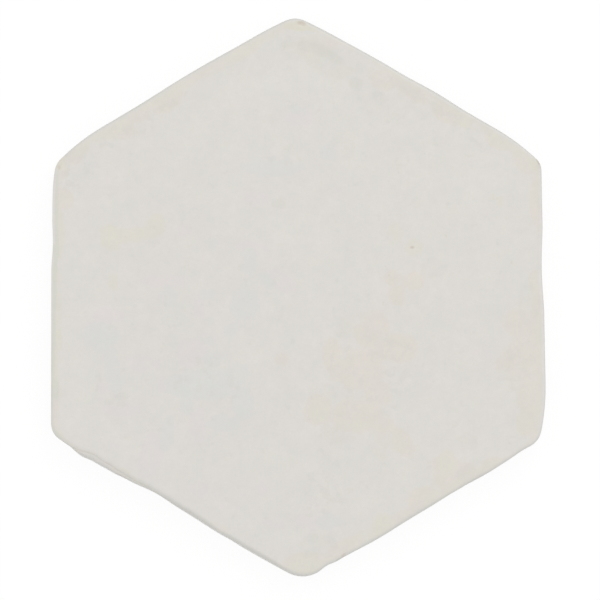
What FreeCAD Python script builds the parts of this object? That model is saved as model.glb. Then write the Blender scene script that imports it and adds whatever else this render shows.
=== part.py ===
"""Hand-made hexagon floor tile: one slab of pressed and trimmed clay, glazed on its face and its walls.

The tile lies on its bed, the flat underside that is bedded in adhesive. The origin is the centre of the bed,
+Z points out of the face, and one corner of the hexagon points along +Y. Everything is in millimetres.

The slab was trimmed by hand, so each of the six edges wanders a little from a true hexagon, the corners are
rounded by different amounts, and each wall leans outwards to its foot. Along the lower left wall the clay
sagged and stands out in a lip below the face. The face is a shallow crown with a few pressed hollows, and it
rolls over into the wall at the arris.
"""

import FreeCAD
import Part
import math
import os

# The tile
ACROSS_FLATS = 150.0  # from one true side to the opposite one
THICKNESS = 12.0  # from the bed to the top of the crown
FACE_CROWN = 0.45  # how much lower the face is at a true corner than at its middle
ARRIS_RADIUS = 1.0  # the rolled edge between the face and the wall
BED_EDGE_RADIUS = 0.5  # the worn edge between the wall and the bed

SIDE_LENGTH = ACROSS_FLATS / math.sqrt(3)

# Places along a side are shares of its length from its middle: -0.5 is the corner where the side begins and
# 0.5 the corner where it ends, going round anticlockwise as seen from above. Distances out are millimetres.
SIDES = ("right", "upper_right", "upper_left", "left", "lower_left", "lower_right")

# How far each side's own line stands outside the true hexagon, where it begins and where it ends.
SIDE_OUT = {
    "right": (0.62, -1.06),
    "upper_right": (-0.33, -0.38),
    "upper_left": (0.76, -0.29),
    "left": (0.14, 0.31),
    "lower_left": (-0.44, -0.61),
    "lower_right": (0.52, -0.30),
}

# How far each side falls away inwards towards the corner where it begins and the one where it ends.
CORNER_FALL = {
    "right": (2.25, 0.0),
    "upper_right": (2.2, 0.8),
    "upper_left": (1.2, 2.4),
    "left": (1.9, 0.0),
    "lower_left": (1.0, 0.3),
    "lower_right": (0.0, 0.0),
}
FALL_REACH = 0.20
SIDE_REACH = 0.6  # each side's line runs on a little past its corners

# The radius of the corner at each side's end.
CORNER_RADIUS = {
    "right": 3.0,
    "upper_right": 5.0,
    "upper_left": 2.0,
    "left": 4.5,
    "lower_left": 9.0,
    "lower_right": 4.8,
}

# Swellings (out) and hollows (in) that the trimming left in the edges: place, reach each way, distance out.
EDGE_MARKS = {
    "right": [(0.10, 0.16, -0.50)],
    "upper_right": [(-0.05, 0.14, 0.42), (0.16, 0.18, 0.25)],
    "upper_left": [(-0.07, 0.24, 0.42)],
    "left": [(-0.30, 0.13, -0.30), (-0.185, 0.088, -0.43)],
    "lower_left": [
        (-0.385, 0.05, 0.50),
        (-0.25, 0.03, 0.10),
        (-0.09, 0.09, -0.40),
        (-0.05, 0.28, -0.72),
        (0.22, 0.05, -0.15),
    ],
    "lower_right": [
        (-0.385, 0.04, -0.35),
        (-0.17, 0.16, 0.50),
        (0.0, 0.12, 0.22),
        (0.27, 0.10, 0.25),
        (0.42, 0.07, -0.30),
    ],
}

# How far the foot of each wall stands outside its top. The wall leans in up to the level of the lip's inner
# edge, and rises straight from there.
WALL_LEAN = {
    "right": 0.30,
    "upper_right": 0.40,
    "upper_left": 0.45,
    "left": 0.30,
    "lower_left": 0.50,
    "lower_right": 0.35,
}

# The lip: below it the wall stands further out by its width, which varies along the side.
LIP_SIDE = "lower_left"
LIP_MARKS = [
    (-0.382, 0.070, 1.12),
    (-0.290, 0.125, 1.72),
    (-0.160, 0.115, 0.68),
    (0.040, 0.160, 0.35),
]
LIP_DEPTH = 2.0  # from the top of the crown down to the lip's inner edge
LIP_SLOPE = 1.0  # how much lower the lip's outer edge is

# Hollows that were pressed into the wet face: centre (x, y), half length and half width as shares of the
# side's length, turn in degrees, depth in millimetres.
FACE_HOLLOWS = [
    ((0.08, 0.85), 0.16, 0.055, -17.0, 0.16),
    ((0.26, 0.72), 0.11, 0.070, -40.0, 0.10),
    ((-0.40, -0.23), 0.35, 0.25, 20.0, 0.10),
    ((0.23, -0.32), 0.28, 0.18, 35.0, 0.08),
    ((0.44, 0.30), 0.25, 0.18, -30.0, 0.08),
]

# How finely the outline and the face are sampled.
STATIONS = 32  # from the middle of one side, round the corner, to the middle of the next
STATION_CROWDING = 0.7  # 0 spaces the stations evenly, 1 crowds them most at the corner
OUTLINE_ERROR = 1e-7  # how exactly each station is found
FACE_GRID = 49
OVERRUN = 1.15  # the wall runs past the face, and the face past the wall, until they trim each other


def bell(x):
    """A smooth hump, 1 at x = 0 that dies out at x = -1 and x = 1."""
    return (1 - x * x) ** 2 if abs(x) < 1 else 0.0


def marks_out(marks, place):
    """The sum of the marks along a side, at this place."""
    return sum(distance * bell((place - at) / reach) for at, reach, distance in marks)


def edge_out(side, place):
    """How far the foot of this side stands outside the true hexagon, at this place."""
    begin, end = SIDE_OUT[side]
    fall_begin, fall_end = CORNER_FALL[side]
    out = begin + (end - begin) * (place + 0.5)
    out -= fall_begin * max(0.0, 1 - (0.5 + place) / FALL_REACH) ** 2
    out -= fall_end * max(0.0, 1 - (0.5 - place) / FALL_REACH) ** 2
    return out + marks_out(EDGE_MARKS[side], place)


def set_back(side, place, z):
    """How far the wall stands inside its foot at height z: its lean, and the lip's width once above it."""
    lip_top = THICKNESS - LIP_DEPTH
    back = WALL_LEAN[side] * z / lip_top
    if side == LIP_SIDE:
        back += marks_out(LIP_MARKS, place) * max(0.0, 1 - (lip_top - z) / LIP_SLOPE)
    return back


def beyond(x, y, z):
    """How far a point lies outside the tile's outline at its own height: below 0 it is inside.

    It is the larger of the distances from the two nearest sides, eased where they are nearly equal, and that
    rounds the corner. A corner of 120 degrees and radius r cuts 0.134 r off each distance at its middle, and
    the easing cuts a quarter of its width, so its width is 0.536 r.
    """
    distances = []
    for number, side in enumerate(SIDES):
        turn = math.radians(60 * number)
        place = (y * math.cos(turn) - x * math.sin(turn)) / SIDE_LENGTH
        place = max(-SIDE_REACH, min(SIDE_REACH, place))
        out = edge_out(side, place) - set_back(side, place, z)
        distances.append(x * math.cos(turn) + y * math.sin(turn) - ACROSS_FLATS / 2 - out)
    nearest = max(range(6), key=lambda number: distances[number])
    after, before = (nearest + 1) % 6, (nearest - 1) % 6
    if distances[after] > distances[before]:
        other, corner = after, SIDES[nearest]
    else:
        other, corner = before, SIDES[before]
    width = 4 * (1 - math.cos(math.radians(30))) * CORNER_RADIUS[corner]
    easing = max(0.0, width - distances[nearest] + distances[other]) / width
    return distances[nearest] + width * easing**2 / 4


def outline(z):
    """The wall's closed, smooth outline at height z, in six edges that each go round one corner."""
    points = []
    for number in range(6):
        for station in range(STATIONS):
            u = 2 * station / STATIONS - 1
            crowded = math.copysign(1 - math.cos(u * math.pi / 2), u)
            turn = (1 - STATION_CROWDING) * u + STATION_CROWDING * crowded
            angle = math.radians(60 * number + 30 + 30 * turn)
            inside, outside = 0.0, ACROSS_FLATS
            while outside - inside > OUTLINE_ERROR:
                middle = (inside + outside) / 2
                if beyond(middle * math.cos(angle), middle * math.sin(angle), z) > 0:
                    outside = middle
                else:
                    inside = middle
            points.append(FreeCAD.Vector(inside * math.cos(angle), inside * math.sin(angle), z))
    curve = Part.BSplineCurve()
    curve.interpolate(Points=points, PeriodicFlag=True)
    ends = curve.getKnots()[::STATIONS]
    return Part.Wire([curve.toShape(begin, end) for begin, end in zip(ends, ends[1:])])


def face_height(x, y):
    """The height of the face above the bed: the crown, less the hollows pressed into it."""
    z = THICKNESS - FACE_CROWN * (x * x + y * y) / SIDE_LENGTH**2
    for (at_x, at_y), half_length, half_width, turn, depth in FACE_HOLLOWS:
        c, s = math.cos(math.radians(turn)), math.sin(math.radians(turn))
        right, up = x / SIDE_LENGTH - at_x, y / SIDE_LENGTH - at_y
        along = (right * c + up * s) / half_length
        across = (up * c - right * s) / half_width
        z -= depth * bell(math.hypot(along, across))
    return z


def under_the_face():
    """A block whose top is the face's surface, to trim the slab with."""
    half = OVERRUN * SIDE_LENGTH
    ticks = [half * (2 * step / (FACE_GRID - 1) - 1) for step in range(FACE_GRID)]
    surface = Part.BSplineSurface()
    surface.interpolate([[FreeCAD.Vector(x, y, face_height(x, y)) for y in ticks] for x in ticks])
    return surface.toShape().extrude(FreeCAD.Vector(0, 0, -2 * THICKNESS))


def loop_edges(solid, low, high):
    """The edges of the solid that lie between two heights."""
    return [edge for edge in solid.Edges if edge.BoundBox.ZMin > low and edge.BoundBox.ZMax < high]


def hexagon_tile():
    """The slab, trimmed under its face, with the arris rolled over and the bed's edge worn round."""
    lip_top = THICKNESS - LIP_DEPTH
    rim = outline(lip_top)
    rise = FreeCAD.Vector(0, 0, OVERRUN * THICKNESS - lip_top)
    levels = [outline(0), outline(lip_top - LIP_SLOPE), rim, rim.translated(rise)]
    slab = Part.makeLoft(levels, True, True).common(under_the_face())
    slab = slab.makeFillet(ARRIS_RADIUS, loop_edges(slab, THICKNESS - LIP_DEPTH / 2, 2 * THICKNESS))
    return slab.makeFillet(BED_EDGE_RADIUS, loop_edges(slab, -1, THICKNESS / 4))


os.makedirs("parts", exist_ok=True)
tile = hexagon_tile()
tile.exportStep("parts/hexagon_tile.step")
print("valid", tile.isValid(), "faces", len(tile.Faces), "box", tile.BoundBox, "volume", round(tile.Volume))
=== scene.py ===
# %% [markdown]
# # A hand-made hexagon floor tile
# The tile is one slab of pressed clay. It was trimmed by hand, dipped in an off-white glaze and fired. Its
# edges waver, its corners are worn by different amounts, and the glaze is thin and creamy where it rolls
# over the edge. Everything here is in metres. The tile lies on its bed, with its face up along +Z and a
# corner towards +Y.
#
# The steps are: the closed edge as the hand trimmed it, rings that carry that edge up the wall and over the
# face, a skin through the rings, numbers painted on the skin, and the glaze that reads them.

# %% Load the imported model
import bpy
import numpy as np
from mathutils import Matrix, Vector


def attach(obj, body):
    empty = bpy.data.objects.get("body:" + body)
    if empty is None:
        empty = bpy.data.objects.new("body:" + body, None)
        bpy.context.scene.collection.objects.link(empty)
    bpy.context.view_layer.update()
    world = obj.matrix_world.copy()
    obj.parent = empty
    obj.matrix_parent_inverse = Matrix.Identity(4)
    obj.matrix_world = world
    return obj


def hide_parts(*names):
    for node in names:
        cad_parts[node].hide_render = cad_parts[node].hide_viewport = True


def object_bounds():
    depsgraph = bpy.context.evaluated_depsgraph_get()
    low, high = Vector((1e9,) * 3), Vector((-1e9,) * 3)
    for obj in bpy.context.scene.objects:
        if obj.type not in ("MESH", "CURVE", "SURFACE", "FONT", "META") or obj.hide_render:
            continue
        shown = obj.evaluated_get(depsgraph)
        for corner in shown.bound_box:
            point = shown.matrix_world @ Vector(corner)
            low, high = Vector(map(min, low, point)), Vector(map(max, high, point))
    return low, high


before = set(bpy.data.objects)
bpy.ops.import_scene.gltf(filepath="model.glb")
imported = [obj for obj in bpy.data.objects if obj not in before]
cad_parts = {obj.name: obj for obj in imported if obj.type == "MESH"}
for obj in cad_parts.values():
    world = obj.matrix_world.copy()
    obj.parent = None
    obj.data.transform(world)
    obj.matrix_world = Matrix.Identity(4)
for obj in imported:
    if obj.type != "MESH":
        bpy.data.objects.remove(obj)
cad_box = [list(corner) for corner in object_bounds()]
print("solids:", sorted(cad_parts))
print("CAD box in mm:", np.round(np.array(cad_box) * 1000, 2).tolist())

# %% [markdown]
# ## The camera
# The photograph looks straight down on the tile from far away, so its walls hardly show. A camera close
# above it would hide them behind the face, and one with no perspective at all would look flat from other
# sides. A very long lens from a few metres up sits between the two. Its height follows from the width that
# the picture has to cover.

# %% Camera
MM = 0.001
PICTURE_PIXELS = 600
PIXEL = 0.3046 * MM  # what one pixel of the photograph covers on the tile's face
PICTURE_CENTRE = (0.50 * MM, -0.73 * MM)  # the place on the tile at the middle of the photograph
LENS = 500.0
SENSOR = 36.0
CLIP_HEIGHTS = 10  # the camera sees this many times its own height

height = PIXEL * PICTURE_PIXELS * LENS / SENSOR
camera_data = bpy.data.cameras.new("camera")
camera_data.lens = LENS
camera_data.sensor_width = SENSOR
camera_data.clip_end = CLIP_HEIGHTS * height
camera = bpy.data.objects.new("camera", camera_data)
camera.location = (*PICTURE_CENTRE, height)
bpy.context.scene.collection.objects.link(camera)
bpy.context.scene.camera = camera
print("camera height in m:", round(height, 3))

# %% [markdown]
# ## The edge, as the hand trimmed it
# Each side has a line of its own, a little off the true hexagon and not quite parallel to it. It falls away
# near some corners and has swellings and hollows along it. A spline through many points could follow that
# too, but a few named marks say what the hand did and can be changed one by one. They are the solid's own,
# repeated here.
#
# A place along a side is a share of its length from its middle: -0.5 is the corner where it begins and 0.5
# the corner where it ends, going round anticlockwise.

# %% The six sides
ACROSS_FLATS = 150 * MM
SIDE_LENGTH = ACROSS_FLATS / np.sqrt(3)
FALL_REACH = 0.20  # a side falls away over this share of its length
SIDE_REACH = 0.6  # each side's line runs on a little past its corners

# One row a side, starting with the right one: how far out it stands where it begins and where it ends, how
# far it falls away at those two corners, and the radius of the corner at its end. All are in millimetres.
SIDES = np.array([
    (0.62, -1.06, 2.25, 0.0, 3.0),
    (-0.33, -0.38, 2.2, 0.8, 5.0),
    (0.76, -0.29, 1.2, 2.4, 2.0),
    (0.14, 0.31, 1.9, 0.0, 4.5),
    (-0.44, -0.61, 1.0, 0.3, 9.0),
    (0.52, -0.30, 0.0, 0.0, 4.8),
])
RIGHT, UPPER_RIGHT, UPPER_LEFT, LEFT, LOWER_LEFT, LOWER_RIGHT = range(6)

# The marks along the sides: side, place, reach each way, distance out in millimetres.
EDGE_MARKS = [
    (RIGHT, 0.10, 0.16, -0.50),
    (UPPER_RIGHT, -0.05, 0.14, 0.42),
    (UPPER_RIGHT, 0.16, 0.18, 0.25),
    (UPPER_LEFT, -0.07, 0.24, 0.42),
    (LEFT, -0.30, 0.13, -0.30),
    (LEFT, -0.185, 0.088, -0.43),
    (LOWER_LEFT, -0.385, 0.05, 0.50),
    (LOWER_LEFT, -0.25, 0.03, 0.10),
    (LOWER_LEFT, -0.09, 0.09, -0.40),
    (LOWER_LEFT, -0.05, 0.28, -0.72),
    (LOWER_LEFT, 0.22, 0.05, -0.15),
    (LOWER_RIGHT, -0.385, 0.04, -0.35),
    (LOWER_RIGHT, -0.17, 0.16, 0.50),
    (LOWER_RIGHT, 0.0, 0.12, 0.22),
    (LOWER_RIGHT, 0.27, 0.10, 0.25),
    (LOWER_RIGHT, 0.42, 0.07, -0.30),
]
print("sides:", len(SIDES), "marks:", len(EDGE_MARKS))


# %% How far a side stands out
def bell(x):
    """A smooth hump: (1 - x squared) squared between -1 and 1, and nothing beyond."""
    return np.clip(1 - x * x, 0, None) ** 2


def edge_out(side, place):
    """How far the foot of a side stands outside the true hexagon: its line, less two falls, plus its marks.

    A fall is its depth times the square of 1 less the distance from its corner over its reach.
    """
    begin, end, fall_begin, fall_end, _ = SIDES[side]
    out = begin + (end - begin) * (place + 0.5)
    out = out - fall_begin * np.clip(1 - (0.5 + place) / FALL_REACH, 0, None) ** 2
    out = out - fall_end * np.clip(1 - (0.5 - place) / FALL_REACH, 0, None) ** 2
    for marked, at, reach, distance in EDGE_MARKS:
        if marked == side:
            out = out + distance * bell((place - at) / reach)
    return out * MM


middles_out = [round(float(edge_out(side, 0.0)) / MM, 2) for side in range(6)]
print("the middles of the sides stand out by", middles_out, "mm")

# %% [markdown]
# ## Walls that lean
# A wall that was cut and trimmed by hand isn't upright. The foot of each wall stands a little outside its
# top, and each wall leans by its own amount, so one taper for the whole tile would be too regular. Close
# below the face the clay was pressed straight.

# %% Lean
WALL_LEAN = np.array([0.30, 0.40, 0.45, 0.30, 0.50, 0.35]) * MM  # one a side, starting with the right one
STRAIGHT_TOP = 2.0 * MM  # the wall rises straight this far below the face

thickness = cad_box[1][2]
print("thickness in mm:", round(thickness / MM, 2))


def lean(side, z):
    """How far the wall stands inside its foot: in proportion to the height, up to where it rises straight."""
    return WALL_LEAN[side] * np.clip(z / (thickness - STRAIGHT_TOP), 0, 1)


# %% [markdown]
# ## From six lines to one closed edge
# The six lines could be cut where they cross and joined by arcs, but a side that wavers has no one
# direction for an arc to run into. Instead, a point is inside the tile when it is inside all six sides, so
# the edge is where the largest of the six distances is zero. Near a corner two of them are nearly equal,
# and easing one into the other there rounds the corner. The edge is then found along each ray from the
# centre by halving, for all the rays at once. Moving it inwards only means taking more off the six
# distances, so the same function serves the wall, the arris and the face's edge.


# %% The closed edge
HALVINGS = 24  # each one makes the edge twice as exact


def beyond(x, y, z, inset):
    """How far points lie outside the outline at height z, moved in by inset: the larger distance, eased.

    For a corner of 120 degrees and radius r, the easing is 4 (1 - cos 30) r, or 0.536 r, wide.
    """
    distances = []
    for side in range(6):
        turn = np.radians(60 * side)
        place = np.clip((y * np.cos(turn) - x * np.sin(turn)) / SIDE_LENGTH, -SIDE_REACH, SIDE_REACH)
        line = ACROSS_FLATS / 2 + edge_out(side, place) - lean(side, z) - inset
        distances.append(x * np.cos(turn) + y * np.sin(turn) - line)
    distances = np.array(distances)
    nearest = distances.argmax(axis=0)
    largest = distances.max(axis=0)
    after = np.take_along_axis(distances, (nearest[None] + 1) % 6, axis=0)[0]
    before = np.take_along_axis(distances, (nearest[None] - 1) % 6, axis=0)[0]
    corner = np.where(after > before, nearest, (nearest - 1) % 6)
    width = 4 * (1 - np.cos(np.radians(30))) * SIDES[corner, 4] * MM
    easing = np.clip(width - largest + np.maximum(after, before), 0, None) / width
    return largest + width * easing**2 / 4


def edge_radius(angle, z, inset):
    """The distance from the centre to the edge along each ray, found by halving the stretch it lies in."""
    low, high = np.zeros_like(angle + z), np.full_like(angle + z, ACROSS_FLATS)
    for _ in range(HALVINGS):
        middle = (low + high) / 2
        outside = beyond(middle * np.cos(angle), middle * np.sin(angle), z, inset) > 0
        low, high = np.where(outside, low, middle), np.where(outside, middle, high)
    return low


# %% [markdown]
# ## Rays that crowd at the corners
# The mesh is a fan of rays crossed by rings. The corners need short steps and the long sides don't, so the
# rays crowd towards each corner.

# %% Rays
RAYS_PER_CORNER = 130
RAY_CROWDING = 0.5  # 0 spaces the rays evenly, 1 crowds them most

u = 2 * np.arange(RAYS_PER_CORNER) / RAYS_PER_CORNER - 1
crowded = (1 - RAY_CROWDING) * u + RAY_CROWDING * np.sign(u) * (1 - np.cos(u * np.pi / 2))
angle = np.radians((60 * np.arange(6)[:, None] + 30 + 30 * crowded).ravel())
foot = edge_radius(angle, 0.0, 0.0)
foot_x, foot_y = foot * np.cos(angle), foot * np.sin(angle)
print("rays:", len(angle), "foot from", round(foot.min() / MM, 2), "to", round(foot.max() / MM, 2), "mm out")

# %% [markdown]
# ## The face
# Wet clay under a press keeps a slight crown, and hands leave shallow hollows in it. The glaze then flows
# out over all of it in long, hardly visible waves, which only show in reflections. The waves are a sum of
# sines with random directions, so they never repeat. They only ever lower the face, which keeps it inside
# the solid's height.

# %% Waves and ovals
WAVE_SEED = 7
WAVE_COUNT = 12
WAVE_SPREAD = (0.7, 1.4)  # the shortest and the longest wave, as shares of the length asked for


def waves(x, y, length, seed):
    """A sum of sines of about this wavelength in random directions, from about -1 to 1."""
    chance = np.random.default_rng(seed)
    direction = chance.uniform(0, 2 * np.pi, WAVE_COUNT)
    rate = 2 * np.pi / (length * chance.uniform(*WAVE_SPREAD, WAVE_COUNT))
    phase = chance.uniform(0, 2 * np.pi, WAVE_COUNT)
    total = 0.0
    for d, k, p in zip(direction, rate, phase):
        total = total + np.sin(k * (x * np.cos(d) + y * np.sin(d)) + p)
    return total / np.sqrt(2 * WAVE_COUNT)


def oval(x, y, at, half_length, half_width, turn):
    """A smooth oval hump, 1 in its middle: a bell of the distance in half lengths and half widths."""
    c, s = np.cos(np.radians(turn)), np.sin(np.radians(turn))
    along = ((x - at[0]) * c + (y - at[1]) * s) / half_length
    across = ((y - at[1]) * c - (x - at[0]) * s) / half_width
    return bell(np.hypot(along, across))


sample = waves(foot_x, foot_y, SIDE_LENGTH, WAVE_SEED)
print("waves round the foot from", round(sample.min(), 2), "to", round(sample.max(), 2))

# %% The face's height
FACE_CROWN = 0.45 * MM  # how much lower the face is at a true corner than at its middle
LONG_WAVE = 38 * MM
LONG_WAVE_DEPTH = 0.06 * MM
SHORT_WAVE = 11 * MM
SHORT_WAVE_DEPTH = 0.016 * MM

# Hollows: centre, half length and half width as shares of the side's length, turn in degrees, depth in mm.
FACE_HOLLOWS = [
    ((0.08, 0.85), 0.16, 0.055, -17.0, 0.16),
    ((0.26, 0.72), 0.11, 0.070, -40.0, 0.10),
    ((-0.40, -0.23), 0.35, 0.25, 20.0, 0.10),
    ((0.23, -0.32), 0.28, 0.18, 35.0, 0.08),
    ((0.44, 0.30), 0.25, 0.18, -30.0, 0.08),
]


def face_height(x, y):
    """The crown, which falls with the distance squared, less the pressed hollows, less the glaze's waves."""
    z = thickness - FACE_CROWN * (x * x + y * y) / SIDE_LENGTH**2
    for at, half_length, half_width, turn, depth in FACE_HOLLOWS:
        z = z - depth * MM * oval(x / SIDE_LENGTH, y / SIDE_LENGTH, at, half_length, half_width, turn)
    long_wave = 0.5 + 0.5 * waves(x, y, LONG_WAVE, WAVE_SEED)
    short_wave = 0.5 + 0.5 * waves(x, y, SHORT_WAVE, WAVE_SEED + 1)
    return z - LONG_WAVE_DEPTH * np.clip(long_wave, 0, 1) - SHORT_WAVE_DEPTH * np.clip(short_wave, 0, 1)


print("face height along the edge varies by", round(np.ptp(face_height(foot_x, foot_y)) / MM, 2), "mm")

# %% [markdown]
# ## Chips, pinholes and nicks
# The glaze has a few small faults: a chip at the top corner that shows the clay, a smaller one at the right
# corner, a pit at the left one, a pinhole, two nicks in the lower right edge and some shallow specks. Each
# is an oval dent with a share of bare clay in it, and a ring of thin glaze, painted further down, surrounds
# it. The faults could be painted on alone, but a dent also catches the light at its rim.

# %% The faults in the glaze
# Centre (x, y), half length, half width in mm, turn in degrees, depth in mm, bare clay from 0 to 1.
FAULTS = {
    "chip at the top corner": ((0.9, 83.2), 1.9, 0.9, -14.0, 0.28, 0.62),
    "chip at the right corner": ((73.0, 40.9), 1.7, 0.7, -60.0, 0.25, 0.50),
    "pit at the left corner": ((-72.6, 39.6), 0.8, 0.6, 62.0, 0.18, 0.40),
    "pinhole": ((34.5, 15.2), 0.9, 0.6, 0.0, 0.20, 0.60),
    "spot in the yellow patch": ((-43.8, 21.2), 0.9, 0.7, 60.0, 0.06, 0.10),
    "nick in the lower right edge": ((13.7, -78.2), 1.1, 0.55, 65.0, 0.40, 0.45),
    "nick beside it": ((12.3, -79.6), 1.0, 0.6, 30.0, 0.30, 0.30),
    "speck on the right": ((64.6, 10.7), 0.6, 0.5, 20.0, 0.06, 0.25),
    "speck above the warm patch": ((44.8, 18.6), 0.5, 0.5, 0.0, 0.06, 0.20),
    "speck in the warm patch": ((27.5, 6.7), 0.5, 0.5, 70.0, 0.06, 0.20),
}


def fault_dent(x, y):
    """How deep the faults are at each point: the deepest of their oval dents."""
    deepest = np.zeros_like(x)
    for at, half_length, half_width, turn, depth, _ in FAULTS.values():
        hump = oval(x, y, np.array(at) * MM, half_length * MM, half_width * MM, turn)
        deepest = np.maximum(deepest, depth * MM * hump)
    return deepest


def fault_bare(x, y):
    """How bare the clay is at each point: the steepened hump of each fault, times how bare its middle is."""
    bare = np.zeros_like(x)
    for at, half_length, half_width, turn, _, share in FAULTS.values():
        hump = oval(x, y, np.array(at) * MM, half_length * MM, half_width * MM, turn)
        bare = np.maximum(bare, share * np.clip(2 * hump, 0, 1))
    return bare


print("faults:", len(FAULTS))

# %% [markdown]
# ## The lip below the lower left edge
# Near the left end of the lower left wall the clay sagged outwards below the face's edge. It stands out
# there as a sloping ledge, nearly two millimetres wide, and along much of that wall as a narrow one. The
# solid has the same lip, and here its inner edge is moved by up to a few tenths of a millimetre to follow
# the photograph. It could be a strip of its own against the wall, but clay that sagged has no seam. So
# marks along the side say how wide it is. From them each ray gets one distance, by which everything above
# the lip is moved in.

# %% How wide the lip is along the edge
# Place on the lower left side, reach each way, width in millimetres.
LIP_MARKS = [
    (-0.382, 0.070, 1.15),
    (-0.300, 0.125, 1.44),
    (-0.175, 0.100, 0.60),
    (0.040, 0.160, 0.30),
]

across = angle - np.radians(60 * LOWER_LEFT)
place = np.tan(across) * ACROSS_FLATS / 2 / SIDE_LENGTH
on_side = np.cos(across) > 0
lip = sum(on_side * width * MM * bell((place - at) / reach) for at, reach, width in LIP_MARKS)
print("lip up to", round(lip.max() / MM, 2), "mm wide")

# %% [markdown]
# ## The arris
# The glaze rolls over from the face into the wall. The hand pressed it wider on some sides than on others,
# and it swells and narrows along each side. A plain quarter round would be the same all the way: this is a
# quarter of an oval, with a width and a drop of its own at each place. Where it was pressed flat, most of
# all on the left, the oval is mixed with a straight bevel.

# %% The arris along the edge
# One pair a side, starting with the right one: near its first corner and near its last.
ARRIS_WIDTH = np.array([(0.5, 0.5), (0.9, 0.9), (0.9, 0.9), (1.2, 0.5), (1.25, 1.3), (1.5, 1.2)]) * MM
ARRIS_DROP = np.array([(0.6, 0.45), (1.0, 1.1), (0.8, 0.9), (0.12, 0.25), (0.45, 1.75), (1.2, 0.95)]) * MM
ARRIS_BEVEL = np.array([(0.2, 0.2), (0, 0), (0, 0), (0.8, 0.7), (0.3, 0.35), (0, 0)])  # 1 would be straight
ARRIS_SWELL = 0.15  # how much it swells and narrows, as a share of itself
SWELL_WAVE = 30 * MM
PAIR_SPREAD = 22  # a side's two values stand this many degrees each way from its middle


def by_side(pairs):
    """One value for each ray, straight from each given value to the next, along sides and round corners."""
    middles = 60 * np.arange(-1, 8)
    places = np.stack([middles - PAIR_SPREAD, middles + PAIR_SPREAD], -1).ravel()
    return np.interp(np.degrees(angle) % 360, places, pairs[np.arange(-1, 8) % 6].ravel())


swell = 1 + ARRIS_SWELL * waves(foot_x, foot_y, SWELL_WAVE, WAVE_SEED + 2)
arris_width = by_side(ARRIS_WIDTH) * swell
arris_drop = by_side(ARRIS_DROP) * swell
arris_bevel = by_side(ARRIS_BEVEL)
print("arris", round(arris_width.min() / MM, 2), "to", round(arris_width.max() / MM, 2), "mm wide")

# %% [markdown]
# ## The glaze stops short of the bed
# A glazed foot would stick to the kiln shelf, so the glaze is wiped off it. It ends in a wavering line with
# a soft bead, and the bare clay below lies back by the glaze's thickness. A change of colour alone would do
# from above, but from the side this small step is seen.

# %% The glaze line on the wall
GLAZE_LINE = 0.9 * MM  # how high above the bed the glaze ends, on the whole
LINE_WAVER = 0.4  # how much that height wavers, as a share of itself
LINE_WAVE = 16 * MM
GLAZE_THICKNESS = 0.15 * MM
GLAZE_EDGE = 0.3 * MM  # how high the glaze's rounded lower edge is

glaze_line = GLAZE_LINE * (1 + LINE_WAVER * waves(foot_x, foot_y, LINE_WAVE, WAVE_SEED + 5))
print("glaze line", round(glaze_line.min() / MM, 2), "to", round(glaze_line.max() / MM, 2), "mm up")


def behind_the_glaze(z):
    """How far the wall lies back at height z: the glaze's thickness below its line, nothing above its edge.

    Between the two, it is the thickness times the square of what is left of the way up.
    """
    up = np.clip((z - glaze_line) / GLAZE_EDGE, 0, 1)
    return GLAZE_THICKNESS * (1 - up) ** 2


# %% [markdown]
# ## Rings, from the bed's centre round the edge to the face's centre
# Every ring is a copy of the edge at its own height, moved in by its own inset and shrunk by its own share.
# That makes the whole tile one closed skin: the bed, its worn edge, the wall, the rolled arris, then the
# face. Rings bunch where the glaze ends, at the lip and at the arris, because the shape changes there.


# %% Ring helpers
def ring_grid(rays, z, inset, share):
    """Points of rings by rays: the edge at height z, moved in by inset, shrunk to a share of its distance."""
    radius = edge_radius(rays, z, inset) * share
    return np.stack([radius * np.cos(rays), radius * np.sin(rays), np.broadcast_to(z, radius.shape)], axis=-1)


def steps(low, high, count):
    """A column of values from just above low up to high, in equal steps."""
    return np.linspace(low, high, count + 1)[1:, None]


def rolled_edge(part, bevel):
    """How far an edge has risen and run in, each 0 to 1, a part of the way round: an oval mixed with a bevel.

    The oval rises by the sine of the quarter turn and runs in by 1 less its cosine. The bevel does both
    evenly.
    """
    rise = (1 - bevel) * np.sin(part * np.pi / 2) + bevel * part
    run = (1 - bevel) * (1 - np.cos(part * np.pi / 2)) + bevel * part
    return rise, run


# %% Rings of the bed
BED_EDGE_RADIUS = 0.5 * MM  # the worn edge between the wall and the bed
BED_RINGS = 5
BED_EDGE_RINGS = 5

bed = ring_grid(angle, 0.0, BED_EDGE_RADIUS + GLAZE_THICKNESS, steps(0, 1, BED_RINGS))
quarter = np.radians(steps(0, 90, BED_EDGE_RINGS))
inset = GLAZE_THICKNESS + BED_EDGE_RADIUS * (1 - np.sin(quarter))
bed_edge = ring_grid(angle, BED_EDGE_RADIUS * (1 - np.cos(quarter)), inset, 1.0)
print("rings of the bed and its edge:", len(bed) + len(bed_edge))

# %% [markdown]
# ## The wall, up to the lip
# The wall rises from the worn edge, with rings close together where the glaze ends. Its last rings climb
# the lip, which is a slope rounded towards its outer edge. It falls by a quarter of a millimetre and half
# its width, so its rings have room even where there is no lip. Trimming left faint trails along the wall,
# longer than they are high, which fade out towards the bed and the arris.

# %% Rings of the wall and the lip
FOOT_TOP = 2.4 * MM  # the rings are close together up to here
FOOT_RINGS = 8
WALL_RINGS = 6
LIP_RINGS = 7
LEAST_FALL = 0.25 * MM  # between the arris and the lip's outer edge, even where there is no lip
LIP_STEEPNESS = 0.50  # how far the lip falls for its width
LIP_BEVEL = 0.40  # 0 would round the lip fully, 1 would make it a straight slope
TRAIL_DEPTH = 0.08 * MM
TRAIL_WAVE = 14 * MM
TRAIL_SQUASH = 4  # how many times longer than high a trail is

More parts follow.
